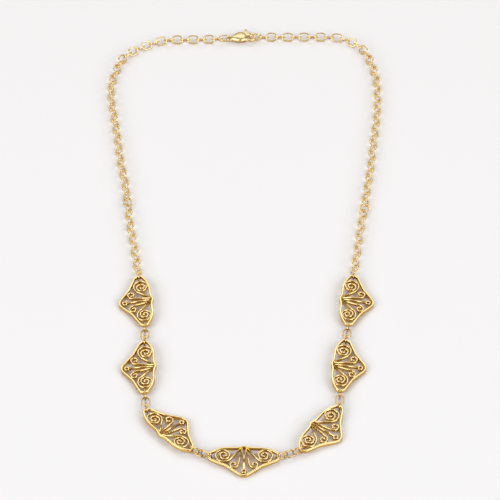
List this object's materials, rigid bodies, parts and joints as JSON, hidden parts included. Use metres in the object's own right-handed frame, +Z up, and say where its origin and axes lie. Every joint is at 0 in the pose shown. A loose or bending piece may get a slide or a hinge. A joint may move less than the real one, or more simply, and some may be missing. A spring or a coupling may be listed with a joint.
{
  "type": "drapery necklace",
  "caption": "Gold necklace of pierced scrollwork plaques hung in a row from jump rings on a cable chain with a lobster clasp, laid flat in a long open loop",
  "frame": {"origin": "middle of the bounding box, on the table the necklace lies on", "axes": "+Z up from the table, +Y from the middle plaque towards the clasp, +X to the right with the middle plaque nearest"},
  "size_m": [0.079, 0.1744, 0.0027],
  "materials": {
    "gold_plaques": "cast yellow gold, softly polished",
    "gold_rings": "drawn yellow gold wire, polished",
    "gold_clasp": "polished yellow gold"
  },
  "bodies": {
    "necklace": {"plaque_1": "gold_plaques", "plaque_2": "gold_plaques", "plaque_3": "gold_plaques", "plaque_4": "gold_plaques", "plaque_5": "gold_plaques", "plaque_6": "gold_plaques", "plaque_7": "gold_plaques", "jump_ring_12a": "gold_rings", "jump_ring_12b": "gold_rings", "jump_ring_12c": "gold_rings", "jump_ring_23a": "gold_rings", "jump_ring_23b": "gold_rings", "jump_ring_23c": "gold_rings", "jump_ring_34a": "gold_rings", "jump_ring_34b": "gold_rings", "jump_ring_34c": "gold_rings", "jump_ring_45a": "gold_rings", "jump_ring_45b": "gold_rings", "jump_ring_45c": "gold_rings", "jump_ring_56a": "gold_rings", "jump_ring_56b": "gold_rings", "jump_ring_56c": "gold_rings", "jump_ring_67a": "gold_rings", "jump_ring_67b": "gold_rings", "jump_ring_67c": "gold_rings", "end_ring_left": "gold_rings", "end_ring_right": "gold_rings", "connector_left": "gold_rings", "connector_right": "gold_rings", "chain_left_lower": "gold_rings", "chain_left_upper": "gold_rings", "chain_right_lower": "gold_rings", "chain_right_upper": "gold_rings", "clasp_ring_left": "gold_rings", "clasp_ring_right": "gold_rings", "clasp_body": "gold_clasp"},
    "clasp_lever": {"clasp_lever": "gold_clasp"}
  },
  "joints": [
    {"name": "lever_hinge", "type": "hinge", "parent": "necklace", "child": "clasp_lever", "pos_m": [-0.00095, 0.0844, 0.001], "axis": [0, 0, 1], "range_deg": [-15, 0], "stiffness_Nm_per_rad": 0.002}
  ]
}
